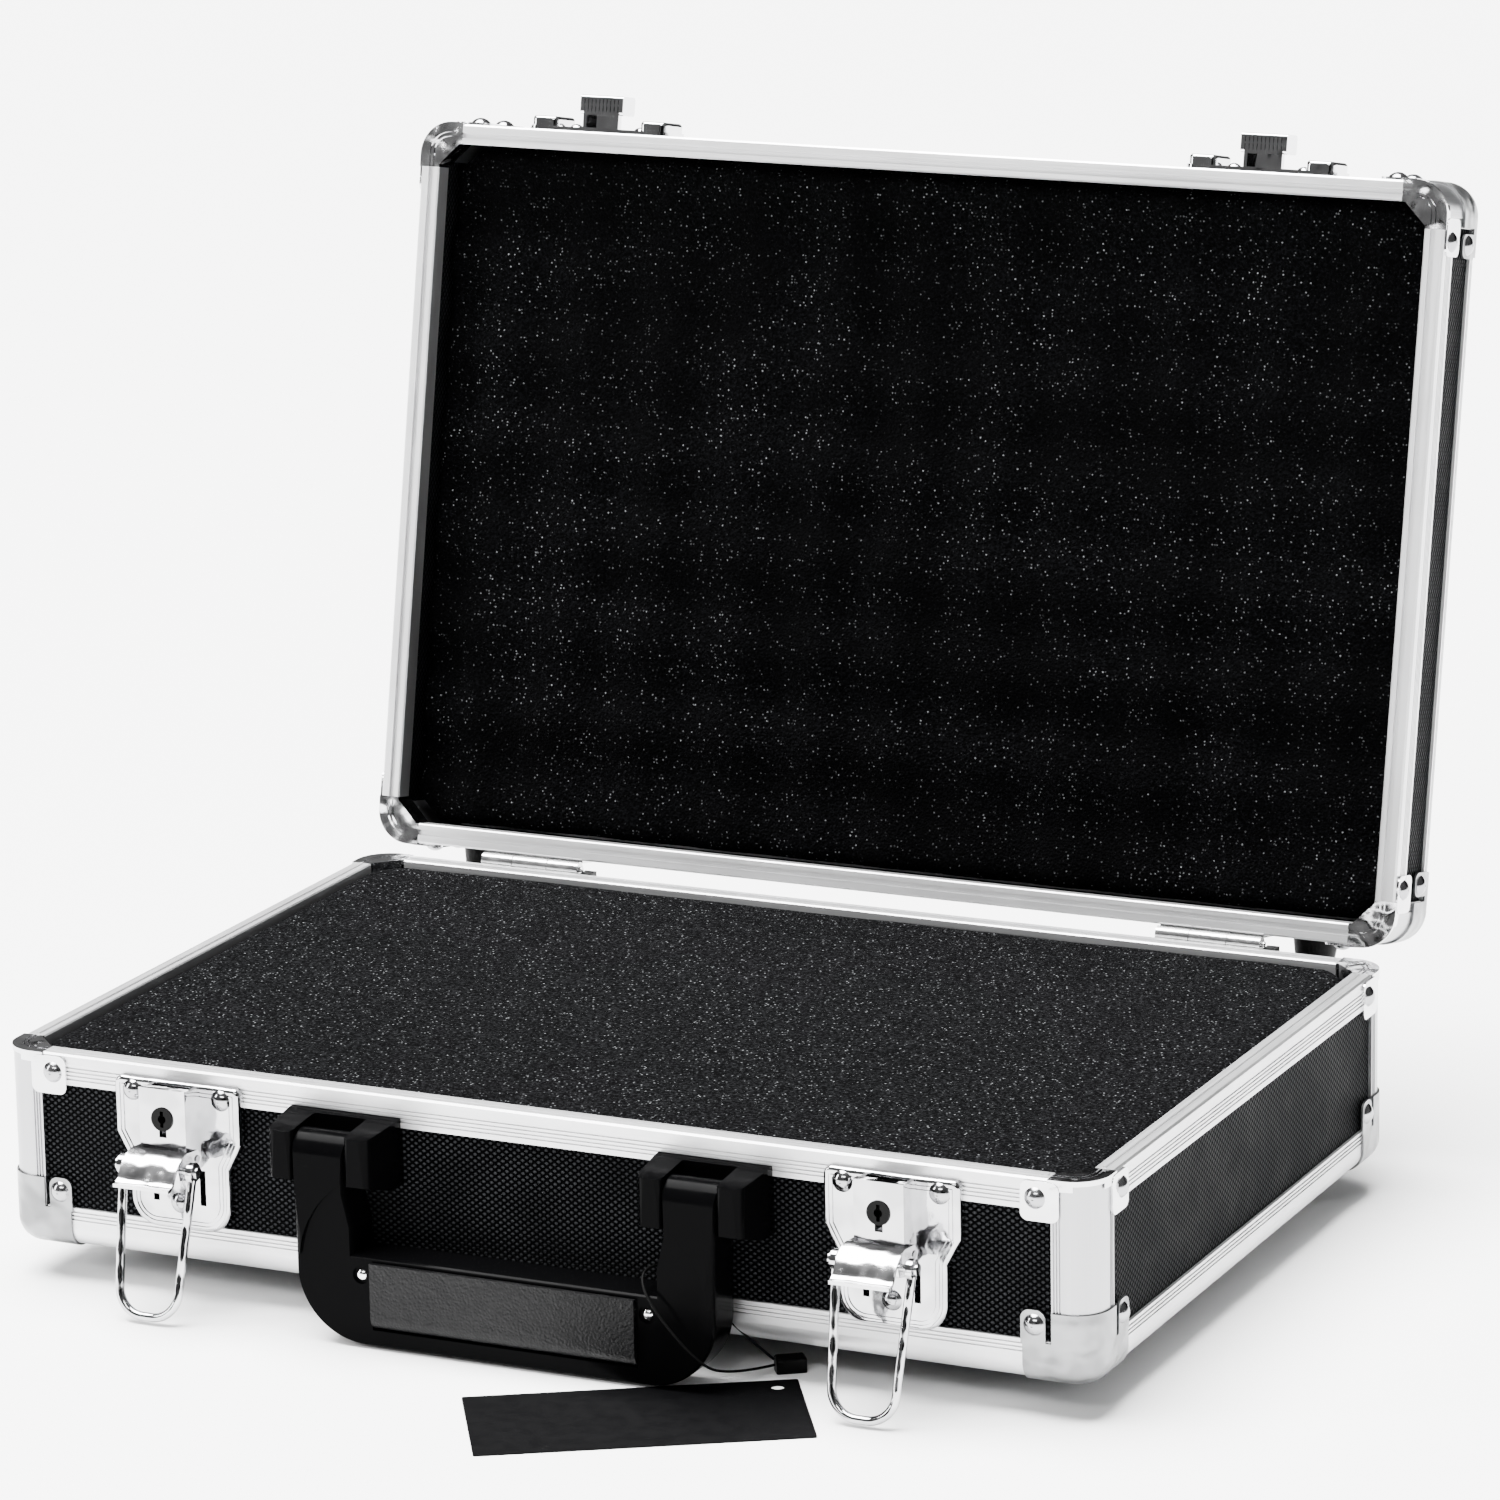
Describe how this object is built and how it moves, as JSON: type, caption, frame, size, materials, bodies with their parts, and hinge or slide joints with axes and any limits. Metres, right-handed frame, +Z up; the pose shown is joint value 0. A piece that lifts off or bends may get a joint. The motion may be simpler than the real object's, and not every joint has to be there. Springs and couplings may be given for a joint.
{
  "type": "attache case",
  "caption": "Hard attache case with framed panels, capped corners, foam inserts, locking toggle latches and a folding handle, open.",
  "frame": {"origin": "centre of the case's footprint, on the plane the feet stand on", "axes": "+Z up; +X to the right seen from the front; -Y to the front, where the handle and latches are"},
  "size_m": [0.36, 0.4067, 0.3184],
  "materials": {
    "black_laminate": "embossed",
    "aluminium_profile": "satin anodised",
    "satin_steel": "satin nickel",
    "bright_chrome": "polished",
    "plug_black": "dark plated",
    "handle_plastic": "semi-gloss",
    "grip_leather": "grained",
    "foam": "open-cell foam",
    "black_rubber": "matt",
    "black_plastic": "matt",
    "tag_card": "matt black card",
    "string": "waxed cord"
  },
  "bodies": {
    "base": {"base_back_panel": "black_laminate", "base_ball_corners": "satin_steel", "base_bottom_panel": "black_laminate", "base_corner_posts": "aluminium_profile", "base_corner_rivets": "bright_chrome", "base_edge_profiles": "aluminium_profile", "base_feet": "black_rubber", "base_foam": "foam", "base_front_panel": "black_laminate", "base_left_panel": "black_laminate", "base_right_panel": "black_laminate", "base_rim_back": "aluminium_profile", "base_rim_corners": "bright_chrome", "base_rim_front": "aluminium_profile", "base_rim_left": "aluminium_profile", "base_rim_right": "aluminium_profile", "handle_bracket_left": "handle_plastic", "handle_bracket_right": "handle_plastic", "handle_pins": "bright_chrome", "hinge_base_leaves": "bright_chrome", "hinge_pins": "bright_chrome", "hinge_stops": "black_plastic", "latch_plate_left": "bright_chrome", "latch_plate_right": "bright_chrome", "latch_rivets": "bright_chrome", "lever_pins": "bright_chrome", "lock_box_left": "bright_chrome", "lock_box_right": "bright_chrome"},
    "lid": {"hinge_lid_leaves": "bright_chrome", "keeper_left": "bright_chrome", "keeper_right": "bright_chrome", "keeper_rivets": "bright_chrome", "lid_back_panel": "black_laminate", "lid_ball_corners": "satin_steel", "lid_corner_posts": "aluminium_profile", "lid_corner_rivets": "bright_chrome", "lid_edge_profiles": "aluminium_profile", "lid_foam": "foam", "lid_front_panel": "black_laminate", "lid_left_panel": "black_laminate", "lid_rear_feet": "black_rubber", "lid_right_panel": "black_laminate", "lid_rim_back": "aluminium_profile", "lid_rim_corners": "bright_chrome", "lid_rim_front": "aluminium_profile", "lid_rim_left": "aluminium_profile", "lid_rim_right": "aluminium_profile", "lid_top_panel": "black_laminate"},
    "handle": {"handle_frame": "handle_plastic", "grip_pad": "grip_leather", "grip_screws": "bright_chrome", "tag_card": "tag_card", "tag_seal": "black_plastic", "tag_string": "string"},
    "lever_left": {"latch_lever_left": "bright_chrome"},
    "bail_left": {"latch_bail_left": "bright_chrome"},
    "plug_left": {"lock_plug_left": "plug_black"},
    "lever_right": {"latch_lever_right": "bright_chrome"},
    "bail_right": {"latch_bail_right": "bright_chrome"},
    "plug_right": {"lock_plug_right": "plug_black"}
  },
  "joints": [
    {"name": "lid_hinge", "type": "hinge", "parent": "base", "child": "lid", "pos_m": [0, 0.1214, 0.0725], "axis": [1, 0, 0], "range_deg": [0, 101.5]},
    {"name": "handle_swing", "type": "hinge", "parent": "base", "child": "handle", "pos_m": [0, -0.1305, 0.0565], "axis": [-1, 0, 0], "range_deg": [0, 92]},
    {"name": "lever_left_swing", "type": "hinge", "parent": "base", "child": "lever_left", "pos_m": [-0.116, -0.126, 0.0473], "axis": [1, 0, 0], "range_deg": [0, 75]},
    {"name": "bail_left_swing", "type": "hinge", "parent": "lever_left", "child": "bail_left", "pos_m": [-0.116, -0.133, 0.0455], "axis": [1, 0, 0], "range_deg": [-246.8, 0]},
    {"name": "key_left_turn", "type": "hinge", "parent": "base", "child": "plug_left", "pos_m": [-0.116, -0.1295, 0.0596], "axis": [0, -1, 0], "range_deg": [0, 90]},
    {"name": "lever_right_swing", "type": "hinge", "parent": "base", "child": "lever_right", "pos_m": [0.116, -0.126, 0.0473], "axis": [1, 0, 0], "range_deg": [0, 75]},
    {"name": "bail_right_swing", "type": "hinge", "parent": "lever_right", "child": "bail_right", "pos_m": [0.116, -0.133, 0.0455], "axis": [1, 0, 0], "range_deg": [-246.8, 0]},
    {"name": "key_right_turn", "type": "hinge", "parent": "base", "child": "plug_right", "pos_m": [0.116, -0.1295, 0.0596], "axis": [0, -1, 0], "range_deg": [0, 90]}
  ],
  "couplings": [
    {"joint": "bail_left_swing", "follows": "lever_left_swing", "ratio": -3.2907},
    {"joint": "bail_right_swing", "follows": "lever_right_swing", "ratio": -3.2907}
  ]
}
